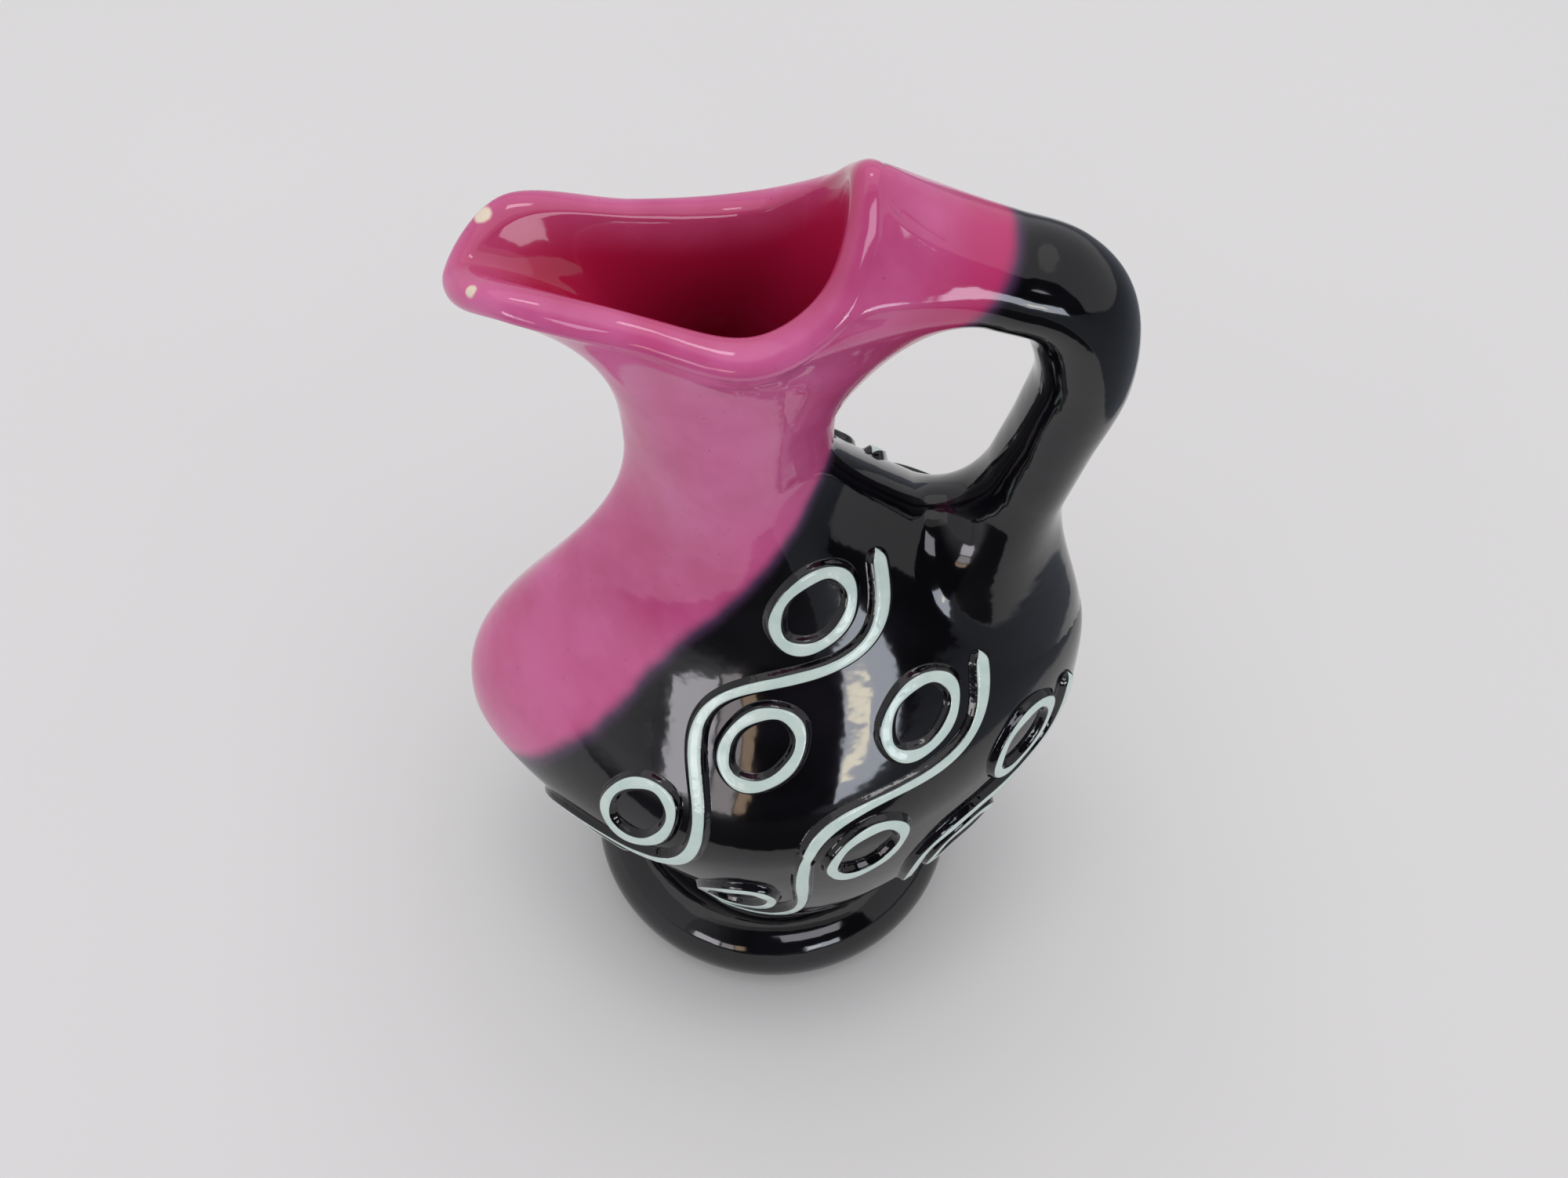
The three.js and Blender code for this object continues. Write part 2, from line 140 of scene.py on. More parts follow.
# Facets, and the steps by which slopes are found
AROUND = 192
FOOT_BEVEL = 18
BELLY_OUTER_RINGS = 150
BELLY_INNER_RINGS = 60
NECK_RINGS = 70
LIP_RINGS = 24
HANDLE_AROUND = 72
HANDLE_RINGS = 110
ROOT_RINGS = 39
BED_STRIDE = 5
SLIP_AROUND = 96
SLIP_SECTION = 32
WAVE_RINGS = 44        # in each bay
TIP_RINGS = 7
SLOPE_STEP = 1e-3
RIM_STEP = 1e-4
BAND_STEP = 0.004


# Surfaces
def lerp(low, high, share):
    return low + (high - low) * share


def smooth(value, low, high):
    share = np.clip((value - low) / (high - low), 0, 1)
    return share * share * (3 - 2 * share)


def unit(vectors):
    return vectors / np.linalg.norm(vectors, axis=-1, keepdims=True)


def column(values):
    return np.asarray(values, dtype=float)[..., None]


def eased(share, power):
    def bent(value):
        return (value + BELLY_EASE) ** power - BELLY_EASE ** power
    return bent(share) / bent(1)


def reach(level, widest, throat, form):
    bowl, shoulder = form
    drawn = (np.hypot(level, BELLY_TURN) - BELLY_TURN) / (math.hypot(1, BELLY_TURN) - BELLY_TURN)
    below = lerp(widest, SEAT_RADIUS, eased(drawn, bowl))
    above = lerp(widest, throat, 0.5 - 0.5 * np.cos(math.pi * np.sqrt(eased(drawn, 2 * shoulder))))
    return np.where(level < 0, below, above)


def level_height(level, widest):
    return lerp(widest, np.where(level < 0, SEAT_HEIGHT, THROAT_HEIGHT), np.abs(level))


def belly_point(level, angle):
    """Belly surface: level runs from -1 at the seat, through 0 at the widest place, to 1 at the throat."""
    across = (1 + np.cos(angle)) / 2
    spout_side = reach(level, BELLY_SPOUT_SIDE, THROAT_SPOUT_SIDE, SPOUT_SIDE_FORM)
    handle_side = reach(level, BELLY_HANDLE_SIDE, THROAT_HANDLE_SIDE, HANDLE_SIDE_FORM)
    depth = reach(level, BELLY_HALF_DEPTH, THROAT_HALF_DEPTH, DEPTH_FORM)
    lean = BOWL_LEAN * np.sin(math.pi * np.minimum(level, 0)) ** 2
    x = lean + lerp(-spout_side, handle_side, across)
    y = depth * np.sin(angle) * (1 - BELLY_TAPER * np.cos(angle) ** 2)
    z = lerp(level_height(level, BELLY_SPOUT_LEVEL), level_height(level, BELLY_HANDLE_LEVEL), across)
    return np.stack(np.broadcast_arrays(x, y, z), axis=-1)


def hermite(start, leaving, end, arriving, share):
    s = column(share)
    return (start * (2 * s**3 - 3 * s**2 + 1) + leaving * (s**3 - 2 * s**2 + s)
            + end * (3 * s**2 - 2 * s**3) + arriving * (s**3 - s**2))


def through(points, place, closed):
    """Smooth curve through points, where place runs from 0 to 1."""
    points = np.array(points, dtype=float)
    if not closed:
        points = np.vstack([2 * points[0] - points[1], points, 2 * points[-1] - points[-2]])
    spans = len(points) if closed else len(points) - 3
    place = np.asarray(place, dtype=float) * spans
    first = np.floor(place) if closed else np.clip(np.floor(place), 0, spans - 1)
    share = place - first
    first = first.astype(int) - (1 if closed else 0)
    before, start, end, after = (points[(first + i) % len(points)] for i in range(4))
    return hermite(start, (end - before) / 2, end, (after - start) / 2, share)


def mirrored(points):
    return points + [(x, -y, z) for x, y, z in points[-2:0:-1]]


def rim(angle):
    """Outer edge of the wall just below the lip, and the lean of the wall there."""
    turn = np.asarray(angle) / (2 * math.pi)
    places = mirrored(RIM_PLACES)
    lean = through(mirrored(RIM_LEANS), turn, True)
    ahead = through(places, turn + RIM_STEP, True) - through(places, turn - RIM_STEP, True)
    away = unit(np.cross(ahead, lean))
    return through(places, turn, True) + LIP_RADIUS * away + (0, 0, THROAT_HEIGHT), lean


def wall_point(rise, angle):
    """Wall of the neck: rise runs from 0 at the throat to 1 where the lip's roll begins."""
    edge, lean = rim(angle)
    rise = np.broadcast_to(rise, np.shape(angle))
    return hermite(belly_point(np.array(1.0), angle), np.array((0, 0, THROAT_RISE)), edge, lean, rise)


def slopes(surface, along, angle):
    return ((surface(along + SLOPE_STEP, angle) - surface(along - SLOPE_STEP, angle)) / (2 * SLOPE_STEP),
            (surface(along, angle + SLOPE_STEP) - surface(along, angle - SLOPE_STEP)) / (2 * SLOPE_STEP))


def outward(surface, along, angle):
    up, around = slopes(surface, along, angle)
    return unit(np.cross(around, up))


def offset(surface, along, angle, distance):
    return surface(along, angle) + outward(surface, along, angle) * column(distance)


def lip_point(turn, angle):
    """Roll of the lip, where a turn of 0 is its outer edge and half a turn its inner one."""
    along = unit(slopes(wall_point, 1.0, angle)[0])
    return (offset(wall_point, 1.0, angle, LIP_RADIUS * (np.cos(turn) - 1))
            + along * column(LIP_RADIUS * np.sin(turn)))


def neck_point(rise, angle):
    """The wall up to a rise of 1, and the roll of the lip from there to 2."""
    over = lip_point(np.maximum(rise - 1, 0) * math.pi, angle)
    return np.where(column(rise) > 1, over, wall_point(np.minimum(rise, 1), angle))


def handle_middle(along):
    return through([(x, 0, THROAT_HEIGHT + z) for x, z in HANDLE_PATH], along, False)


def handle_ahead(along):
    near = np.clip(np.asarray(along, dtype=float) - SLOPE_STEP, 0, 1)
    far = np.clip(np.asarray(along, dtype=float) + SLOPE_STEP, 0, 1)
    return unit(handle_middle(far) - handle_middle(near))


def handle_point(along, angle):
    sideways = np.array((0.0, 1.0, 0.0))
    away = np.cross(handle_ahead(along), sideways)
    half = through([(width, 0) for width in HANDLE_HALF_WIDTHS], along, False)[..., 0]
    return (handle_middle(along) + away * column(half * np.cos(angle))
            + sideways * column(HANDLE_HALF_DEPTH * np.sin(angle)))


def moved(surface, along, angle, move):
    """Numbers of the place that a short move over a surface leads to."""
    up, around = slopes(surface, along, angle)
    slant = (up * around).sum(-1)
    up_square = (up * up).sum(-1)
    around_square = (around * around).sum(-1)
    area = up_square * around_square - slant**2
    rise = (move * up).sum(-1)
    ahead = (move * around).sum(-1)
    return (along + (rise * around_square - ahead * slant) / area,
            angle + (ahead * up_square - rise * slant) / area)


def flattened(surface, along, angle, heading):
    """A heading turned into the surface."""
    away = outward(surface, along, angle)
    return unit(heading - away * (heading * away).sum(-1, keepdims=True))


def meeting(surface, along, angle, base, heading):
    """Where straight lines from base meet a surface, and how far off that is."""
    distance = np.zeros(np.shape(angle))
    for _ in range(12):
        up, around = slopes(surface, along, angle)
        gap = base + heading * column(distance) - surface(along, angle)
        sides = np.stack([up, around, np.broadcast_to(-heading, up.shape)], axis=-1)
        step = np.linalg.solve(sides, gap[..., None])[..., 0]
        along, angle, distance = along + step[:, 0], angle + step[:, 1], distance + step[:, 2]
    return along, angle, distance


class Root:
    """Where the handle grows out of a surface: each line of the bar runs on, turns and lies down on it."""

    def __init__(self, surface, root, angle):
        end = root["end"]
        down = handle_ahead(end) * (2 * end - 1)
        outer = np.maximum(np.cos(angle), 0) ** ROOT_ROUNDING
        inner = np.maximum(-np.cos(angle), 0) ** ROOT_ROUNDING
        reach_out, turning = (
            flank + (first - flank) * outer + (second - flank) * inner
            for first, flank, second in zip(root["outer"], root["flank"], root["inner"]))
        self.ring = handle_point(np.full(np.shape(angle), float(end)), angle)
        aside = (self.ring - handle_middle(end)) * (1, root["fan"], 1)
        near_along = np.full(np.shape(angle), root["level"])
        near_turn = self.ring[:, 1] * root["spread"]
        along, turn, distance = meeting(surface, near_along, near_turn, self.ring, down)
        self.under = []
        for _ in range(ROOT_STEPS):
            self.under.append(offset(surface, along, turn, -UNDER_SINK))
            aside = flattened(surface, along, turn, aside)
            along, turn = moved(surface, along, turn, aside * column(reach_out / ROOT_STEPS))
            along = np.minimum(along, root["limit"])
        aside = flattened(surface, along, turn, aside)
        self.ground = outward(surface, along, turn)
        self.landing = surface(along, turn) - ROOT_SINK * self.ground
        self.start = -aside * column(turning * reach_out)
        self.finish = -down * column(turning * distance)

    def rings(self, shares):
        """The skin from the landing to the bar's end ring."""
        return [hermite(self.landing, self.start, self.ring, self.finish, np.full(len(self.ring), share))
                for share in shares]

    def bed(self):
        """The hidden underside, from its middle out to the landing."""
        middle = np.repeat(self.under[0].mean(axis=0, keepdims=True), len(self.ring), axis=0)
        return [middle] + self.under[::BED_STRIDE]


# Meshes: each begins as a primitive, whose corners are then moved onto the surfaces above
def deselect():
    bpy.ops.object.select_all(action="DESELECT")


def named(name):
    piece = bpy.context.object
    piece.name = name
    piece.data.name = name
    return piece


def corners(piece):
    flat = np.empty(len(piece.data.vertices) * 3)
    piece.data.vertices.foreach_get("co", flat)
    return flat.reshape(-1, 3)


def move_corners(piece, points):
    piece.data.vertices.foreach_set("co", np.ascontiguousarray(points).ravel())
    piece.data.update()
    piece.data.shade_smooth()


def ball(name, rings, around):
    """A sphere with so many rings between its poles, and each corner's ring, from 0 at the lower pole."""
    deselect()
    bpy.ops.mesh.primitive_uv_sphere_add(segments=around, ring_count=rings + 1, radius=1)
    piece = named(name)
    points = corners(piece)
    ring = np.rint(np.arccos(np.clip(-points[:, 2], -1, 1)) / math.pi * (rings + 1)).astype(int)
    return piece, ring, np.arctan2(points[:, 1], points[:, 0])


def hoop(name, around, section):
    """A torus, each corner's place in the section, counted from the outer edge up, and its angle."""
    deselect()
    bpy.ops.mesh.primitive_torus_add(
        major_segments=around, minor_segments=section, major_radius=1, minor_radius=0.25)
    piece = named(name)
    points = corners(piece)
    turn = np.arctan2(points[:, 2], np.hypot(points[:, 0], points[:, 1]) - 1)
    return piece, counted(turn, section), np.arctan2(points[:, 1], points[:, 0])


def lean_normals(piece, normals):
    """Shading directions given by formula; a zero keeps Blender's own."""
    piece.data.normals_split_custom_set_from_vertices([tuple(normal) for normal in normals])


def note(piece, name, values):
    """A number for each corner, which a material reads by name."""
    attribute = piece.data.attributes.new(name, "FLOAT", "POINT")
    attribute.data.foreach_set("value", np.asarray(values, dtype=float))


def counted(angle, around):
    """Number of the place that an angle has among evenly spaced ones."""
    return np.rint(angle / (2 * math.pi) * around).astype(int) % around


def select_faces(piece, test):
    bpy.ops.object.mode_set(mode="EDIT")
    bpy.ops.mesh.select_mode(type="FACE")
    bpy.ops.mesh.select_all(action="DESELECT")
    bpy.ops.object.mode_set(mode="OBJECT")
    for face in piece.data.polygons:
        face.select = test(face)
    bpy.ops.object.mode_set(mode="EDIT")


def make_foot():
    """A disc whose two rims are rounded into one roll, hollowed underneath."""
    deselect()
    bpy.ops.mesh.primitive_cylinder_add(
        vertices=AROUND, radius=FOOT_RADIUS, depth=FOOT_HEIGHT, location=(0, 0, FOOT_HEIGHT / 2))
    piece = named("glazed_foot")
    bpy.ops.object.transform_apply(location=True)
    select_faces(piece, lambda face: abs(face.normal.z) > 0.9)
    bpy.ops.mesh.region_to_loop()
    bpy.ops.mesh.bevel(offset=FOOT_ROLL * 0.999, segments=FOOT_BEVEL, profile=0.5, affect="EDGES")
    bpy.ops.object.mode_set(mode="OBJECT")
    select_faces(piece, lambda face: face.normal.z < -0.999 and len(face.vertices) > 4)
    bpy.ops.mesh.inset(thickness=FOOT_RING)
    bpy.ops.mesh.inset(thickness=FOOT_RECESS)
    bpy.ops.transform.translate(value=(0, 0, FOOT_RECESS))
    bpy.ops.object.mode_set(mode="OBJECT")
    bpy.ops.object.shade_smooth_by_angle(angle=math.radians(30))
    return piece


def make_belly():
    """Outer skin from the seat up to the throat, then the inner one down to the floor."""
    outer = np.linspace(-1, 1, BELLY_OUTER_RINGS)
    inner = np.linspace(1, -1, BELLY_INNER_RINGS)
    piece, ring, angle = ball("glazed_belly", len(outer) + len(inner), AROUND)
    levels = np.concatenate([outer[:1], outer, inner, inner[-1:]])
    inside = np.concatenate([np.zeros(len(outer) + 1), np.ones(len(inner) + 1)])
    level = levels[ring]
    points = offset(belly_point, level, angle, -WALL * inside[ring])
    floor = SEAT_HEIGHT + FLOOR
    points[:, 2] = np.where(inside[ring] > 0, np.maximum(points[:, 2], floor), points[:, 2])
    points[ring == 0] = (0, 0, SEAT_HEIGHT)
    points[ring == len(levels) - 1] = (0, 0, floor)
    move_corners(piece, points)
    skin = (inside[ring] == 0) & (level > SEAT_LEVEL)
    lean_normals(piece, np.where(skin[:, None], outward(belly_point, level, angle), 0))
    return piece


def evened(rows, share):
    """Rows of points round the neck, each drawn so far towards its smoothed self."""
    even = rows
    for _ in range(FOLD_PASSES):
        even = (np.roll(even, 1, axis=1) + 2 * even + np.roll(even, -1, axis=1)) / 4
    return lerp(rows, even, share[:, None, None])


def make_neck():
    """Outer wall, rolled lip and inner wall in one closed band."""
    outer = np.linspace(0, 1, NECK_RINGS)
    lip = np.linspace(0, math.pi, LIP_RINGS + 2)[1:-1]
    inner = np.linspace(1, 0, NECK_RINGS)
    rises = np.concatenate([outer, np.ones(len(lip)), inner])
    turns = np.concatenate([np.zeros(len(outer)), lip, np.zeros(len(inner))])
    depths = np.concatenate([np.zeros(len(outer) + len(lip)), lerp(WALL, 2 * LIP_RADIUS, inner)])
    rolled = np.concatenate([np.zeros(len(outer)), np.ones(len(lip)), np.zeros(len(inner))])
    piece, place, angle = hoop("glazed_neck", AROUND, len(rises))
    points = np.where(
        rolled[place][:, None] > 0,
        lip_point(turns[place], angle),
        offset(wall_point, rises[place], angle, -depths[place]))
    station = counted(angle, AROUND)
    rows = np.empty((len(rises), AROUND, 3))
    rows[place, station] = points
    past_crest = smooth(lip, math.pi / 2, math.pi)
    folding = np.concatenate([np.zeros(len(outer)), past_crest, smooth(inner, 0, FOLD_FADE)])
    move_corners(piece, evened(rows, folding)[place, station])
    skin = place < len(outer) - 1
    lean_normals(piece, np.where(skin[:, None], outward(wall_point, rises[place], angle), 0))
    # Painted shade: crimson that deepens from the lip's inner edge down the inner wall.
    deepening_shade = lerp(LIP_PAINTED_SHADE, 1, smooth(1 - inner, 0, INNER_SHADE_FADE))
    inside = np.concatenate([np.zeros(len(outer)), LIP_PAINTED_SHADE * past_crest, deepening_shade])
    note(piece, "inside", inside[place])
    return piece


def make_handle():
    """From the root on the belly up the loop to the root on the neck."""
    lines = np.arange(HANDLE_AROUND) * 2 * math.pi / HANDLE_AROUND
    lower = Root(belly_point, LOWER_ROOT, lines)
    bridge = Root(neck_point, BRIDGE_ROOT, lines)
    shares = np.linspace(0, 1, ROOT_RINGS + 1)[:-1]
    bar = [handle_point(np.full(HANDLE_AROUND, along), lines) for along in np.linspace(1, 0, HANDLE_RINGS)]
    bridge_rings = bridge.bed() + bridge.rings(shares)
    rings = np.array(lower.bed() + lower.rings(shares) + bar + bridge_rings[::-1])
    under = np.zeros(len(lower.bed()))

    def along_handle(root_values):
        return np.concatenate([under, root_values, np.ones(len(bar)), root_values[::-1], under])

    own_share = along_handle(smooth(shares, *ROOT_SHADING))
    grown = along_handle(smooth(shares, *ROOT_GLAZE))
    piece, ring, angle = ball("glazed_handle", len(rings) - 2, HANDLE_AROUND)
    line = counted(angle, HANDLE_AROUND)
    move_corners(piece, rings[ring, line])
    own = np.empty(len(ring) * 3)
    piece.data.vertex_normals.foreach_get("vector", own)
    ground = np.where(ring[:, None] < len(rings) / 2, lower.ground[line], bridge.ground[line])
    lean_normals(piece, unit(lerp(ground, own.reshape(-1, 3), own_share[ring][:, None])))
    note(piece, "grown", grown[ring])
    return piece


# Slip lines
def band_level(drop, angle):
    """Level on the belly that lies so far below the glaze edge, found by halving."""
    height, climb, _ = BODY_EDGE
    target = height - drop * math.hypot(1, climb)
    low = np.full(np.shape(angle), -1.0)
    high = np.full(np.shape(angle), 1.0)
    for _ in range(32):
        middle = (low + high) / 2
        point = belly_point(middle, angle)
        under = point[..., 2] - climb * point[..., 0] < target
        low = np.where(under, middle, low)
        high = np.where(under, high, middle)
    return low


def hand_width(share):
    """The slight swelling of a line laid by hand."""
    return 1 + 0.07 * np.sin(4 * math.pi * share + 1) + 0.05 * np.sin(10 * math.pi * share)


class Band:
    """One wave band on one side of the belly, with places by share of its length."""

    def __init__(self, sizes, side):
        self.drop = sizes["drop"]
        self.bays = sizes["bays"]
        self.side = side
        self.angles = np.linspace(side * sizes["from"], side * sizes["to"], 400)
        points = belly_point(band_level(self.drop, self.angles), self.angles)
        steps = np.linalg.norm(np.diff(points, axis=0), axis=1)
        self.lengths = np.concatenate([[0], np.cumsum(steps)])
        self.length = self.lengths[-1]

    def at(self, share):
        angle = np.interp(np.clip(share, 0, 1) * self.length, self.lengths, self.angles)
        return band_level(self.drop, angle), angle

    def place(self, share, along, up):
        level, angle = self.at(share)
        ahead = unit(belly_point(*self.at(share + BAND_STEP)) - belly_point(*self.at(share - BAND_STEP)))
        over = unit(np.cross(outward(belly_point, level, angle), ahead)) * -self.side
        move = (ahead * column(along) + over * column(up)) / PLACE_STEPS
        for _ in range(PLACE_STEPS):
            level, angle = moved(belly_point, level, angle, move)
        return level, angle

    def wave(self, share):
        return self.place(share, np.zeros_like(share), WAVE_HEIGHT * np.sin(math.pi * self.bays * share))

    def ring(self, bay, share):
        crest = (-1) ** bay
        drop = RING_HALF_HEIGHT + SLIP_WIDTH + SLIP_SPACE - WAVE_HEIGHT
        lean = RING_LEAN * crest
        x = RING_HALF_LENGTH * np.cos(2 * math.pi * share)
        y = RING_HALF_HEIGHT * np.sin(2 * math.pi * share)
        return self.place(
            np.full(np.shape(share), (bay + 0.5) / self.bays),
            x * math.cos(lean) - y * math.sin(lean),
            x * math.sin(lean) + y * math.cos(lean) - crest * drop)


def lay_bead(piece, path, shares, sizes, station, turn, handed):
    """Moves a bead's corners onto its path: turn goes round the section, from the edge up over the top."""
    level, angle = path(shares)
    middle = belly_point(level, angle)[station]
    away = outward(belly_point, level, angle)
    ahead = unit(belly_point(*path(shares + SLOPE_STEP)) - belly_point(*path(shares - SLOPE_STEP)))
    aside = handed * np.cross(ahead, away)[station]
    size = (sizes * hand_width(shares))[station]
    across = SLIP_HALF_WIDTH * np.cos(turn)
    crown = 1 - smooth(np.abs(across), SLIP_HALF_FLAT, SLIP_HALF_WIDTH)
    up = np.where(np.sin(turn) > 0, SLIP_HEIGHT * crown * size, SLIP_ROOT * np.sin(turn))
    move_corners(piece, middle + aside * column(across * size) + away[station] * column(up - ROOT_SINK))
    note(piece, "across", np.where(np.sin(turn) > -0.01, np.abs(np.cos(turn)) / np.maximum(size, 0.05), 1))


def make_wave(name, band):
    """An open bead with a rounded tip at each end."""
    steps = WAVE_RINGS * band.bays
    tip = np.linspace(0, math.pi / 2, TIP_RINGS + 2)[1:-1]
    tip_length = SLIP_HALF_WIDTH / (band.length * TIP_SHARPNESS)
    starts = tip_length * (1 - np.cos(tip))
    body = np.linspace(tip_length, 1 - tip_length, steps)
    shares = np.concatenate([[0], starts, body, 1 - starts[::-1], [1]])
    sizes = np.concatenate([[0], np.sin(tip), np.ones(steps), np.sin(tip)[::-1], [0]])
    piece, ring, turn = ball(name, len(shares) - 2, SLIP_SECTION)
    lay_bead(piece, band.wave, shares, sizes, ring, turn, -1)
    return piece


def make_ring(name, band, bay):
    """A bead closed on itself."""
    piece, place, angle = hoop(name, SLIP_AROUND, SLIP_SECTION)
    station = counted(angle, SLIP_AROUND)
    shares = np.arange(SLIP_AROUND) / SLIP_AROUND
    turn = place * 2 * math.pi / SLIP_SECTION
    lay_bead(piece, lambda share: band.ring(bay, share), shares, np.ones(SLIP_AROUND), station, turn, 1)
    return piece


# Finishes
class Wire:
    """A number on its way between two nodes; sums on it add Math nodes."""

    def __init__(self, finish, socket):
        self.finish = finish
        self.socket = socket

    def math(self, operation, first, second):
        return self.finish.node("ShaderNodeMath", {"operation": operation}, {0: first, 1: second})

    def __add__(self, other):
        return self.math("ADD", self, other)

    def __sub__(self, other):
        return self.math("SUBTRACT", self, other)

    def __mul__(self, other):
        return self.math("MULTIPLY", self, other)

    def __truediv__(self, other):
        return self.math("DIVIDE", self, other)

    def __rsub__(self, other):
        return self.math("SUBTRACT", other, self)

    def __rtruediv__(self, other):
        return self.math("DIVIDE", other, self)

    __radd__ = __add__
    __rmul__ = __mul__


class Finish:
    """A material and its nodes."""

    def __init__(self, name):
        self.material = bpy.data.materials.new(name)
        self.material.use_nodes = True
        self.tree = self.material.node_tree
        self.surface = self.tree.nodes["Principled BSDF"]
        self.place = self.node("ShaderNodeTexCoord", output="Object")

    def node(self, kind, settings=None, sockets=None, output=0):
        made = self.tree.nodes.new(kind)
        for name, value in (settings or {}).items():
            setattr(made, name, value)
        for name, value in (sockets or {}).items():
            self.feed(made.inputs[name], value)
        return Wire(self, made.outputs[output])

    def feed(self, socket, value):
        if isinstance(value, Wire):
            self.tree.links.new(value.socket, socket)
        else:
            socket.default_value = value

    def set(self, **sockets):
        for name, value in sockets.items():
            self.feed(self.surface.inputs[name.replace("_", " ")], value)

    def noise(self, scale, detail=2, roughness=0.5, place=None):
        return self.node("ShaderNodeTexNoise", {"noise_dimensions": "3D"}, {
            "Vector": place or self.place, "Scale": scale, "Detail": detail, "Roughness": roughness})

    def vector(self, operation, other, output=0):
        return self.node("ShaderNodeVectorMath", {"operation": operation}, {0: self.place, 1: other}, output)

    def step(self, value, low, high):
        return self.node("ShaderNodeMapRange", {"interpolation_type": "SMOOTHSTEP"}, {
            "Value": value, "From Min": low, "From Max": high, "To Min": 0.0, "To Max": 1.0})

    def blend(self, share, first, second):
        return self.node("ShaderNodeMix", {"data_type": "RGBA"}, {
            0: share, 6: first if isinstance(first, Wire) else (*first, 1),
            7: second if isinstance(second, Wire) else (*second, 1)}, 2)

    def axes(self):
        split = self.tree.nodes.new("ShaderNodeSeparateXYZ")
        self.feed(split.inputs[0], self.place)
        return [Wire(self, socket) for socket in split.outputs]

    def number(self, name):
        return self.node("ShaderNodeAttribute", {"attribute_name": name}, output="Fac")

    def bump(self, height, distance, strength):
        self.set(Normal=self.node("ShaderNodeBump", {}, {
            "Height": height, "Distance": distance, "Strength": strength}, "Normal"))


BLACK_DEEP = (0.002, 0.002, 0.003)
BLACK_THIN = (0.007, 0.006, 0.009)
PINK_DEEP = (0.51, 0.066, 0.205)
PINK_THIN = (0.65, 0.135, 0.34)
# Painted shade and red interreflection deep inside the neck.
PAINTED_INNER_SHADE = (0.42, 0.010, 0.055)
ROSE_RUN = (0.52, 0.035, 0.15)
PINK_SPECK = (0.20, 0.02, 0.06)
FRINGE = (0.075, 0.035, 0.085)
PALE_SLIP = (0.66, 0.78, 0.73)
SHADED_SLIP = (0.58, 0.72, 0.68)
# Cream of the small spots on the spout's lip.
SPOT_CREAM = (0.80, 0.66, 0.52)
GLAZE_IOR = 1.52
GLAZE_ROUGHNESS = 0.04
RUN_STRETCH = (1, 1, 0.22)
RUN_STRENGTH = 0.42
SPECK_STRENGTH = 0.35
SLIP_FLANK = (0.43, 0.51)     # where the black of the flank begins, by share of the half width
# Two small cream spots on the spout's lip: middle and radius.
CREAM_SPOTS = [((-0.0490, 0.0080, 0.2282), 0.0021), ((-0.0498, -0.0087, 0.2276), 0.0016)]


def black_glaze(finish):
    return finish.blend(finish.step(finish.noise(55, 3), 0.35, 0.75), BLACK_DEEP, BLACK_THIN)


def pink_glaze(finish):
    """Clouded pink with rosier runs down the wall, painted crimson shade inside the neck, a few specks and
    cream spots on the lip.
    """
    clouds = finish.blend(finish.step(finish.noise(28, 4, 0.6), 0.32, 0.68), PINK_DEEP, PINK_THIN)
    drawn_down = finish.vector("MULTIPLY", RUN_STRETCH)
    runs = finish.step(finish.noise(38, 2, 0.5, drawn_down), 0.52, 0.72)
    clouds = finish.blend(runs * RUN_STRENGTH, clouds, ROSE_RUN)
    # Painted shade: crimson deepening down the inner wall of the neck.
    clouds = finish.blend(finish.number("inside"), clouds, PAINTED_INNER_SHADE)
    specks = finish.step(finish.noise(900, 1), 0.74, 0.8)
    clouds = finish.blend(specks * SPECK_STRENGTH, clouds, PINK_SPECK)
    # Small cream spots on the spout's lip, with ragged edges.
    for middle, radius in CREAM_SPOTS:
        edge = finish.vector("DISTANCE", middle, "Value") + (finish.noise(420, 2) - 0.5) * 0.0012
        clouds = finish.blend(finish.step(edge, radius, radius * 0.55), clouds, SPOT_CREAM)
    return clouds


def glaze_surface(finish):
    """Gloss, with a slight ripple."""
    finish.set(IOR=GLAZE_IOR, Roughness=GLAZE_ROUGHNESS + finish.noise(160, 2) * 0.06)
    finish.bump(finish.noise(95, 2) + finish.noise(420, 1) * 0.10, 0.0006, 0.22)


def over_edge(finish, edge):
    """Distance over the slanting plane of a glaze edge."""
    height, climb, _ = edge
    x, _, z = finish.axes()
    return (z - x * climb - height) / math.hypot(1, climb)


def two_glazes(name, on_handle):
    """Pink above a slanting soft edge, black below; the handle's edge takes over as it leaves the neck."""
    finish = Finish(name)
    over = over_edge(finish, BODY_EDGE)
    rosy = BODY_EDGE[2]
    if on_handle:
        grown = finish.number("grown")
        over = over + (over_edge(finish, HANDLE_EDGE) - over) * grown
        rosy = rosy + grown * (HANDLE_EDGE[2] - rosy)
    over = over + (finish.noise(24, 2) - 0.5) * 0.006 + (finish.noise(150, 2) - 0.5) * 0.0012
    pink = finish.step(over, -EDGE_WIDTH / 2, EDGE_WIDTH / 2)
    lower = finish.blend(finish.step(pink, 0.0, 0.55), black_glaze(finish), FRINGE)
    blush = finish.step(over, BLUSH_REACH, 0) * rosy
    upper = finish.blend(blush, pink_glaze(finish), ROSE_RUN)
    finish.set(Base_Color=finish.blend(finish.step(pink, 0.35, 1.0), lower, upper))
    glaze_surface(finish)
    return finish.material


def one_black_glaze():
    finish = Finish("black_foot_glaze")
    finish.set(Base_Color=black_glaze(finish))
    glaze_surface(finish)
    return finish.material


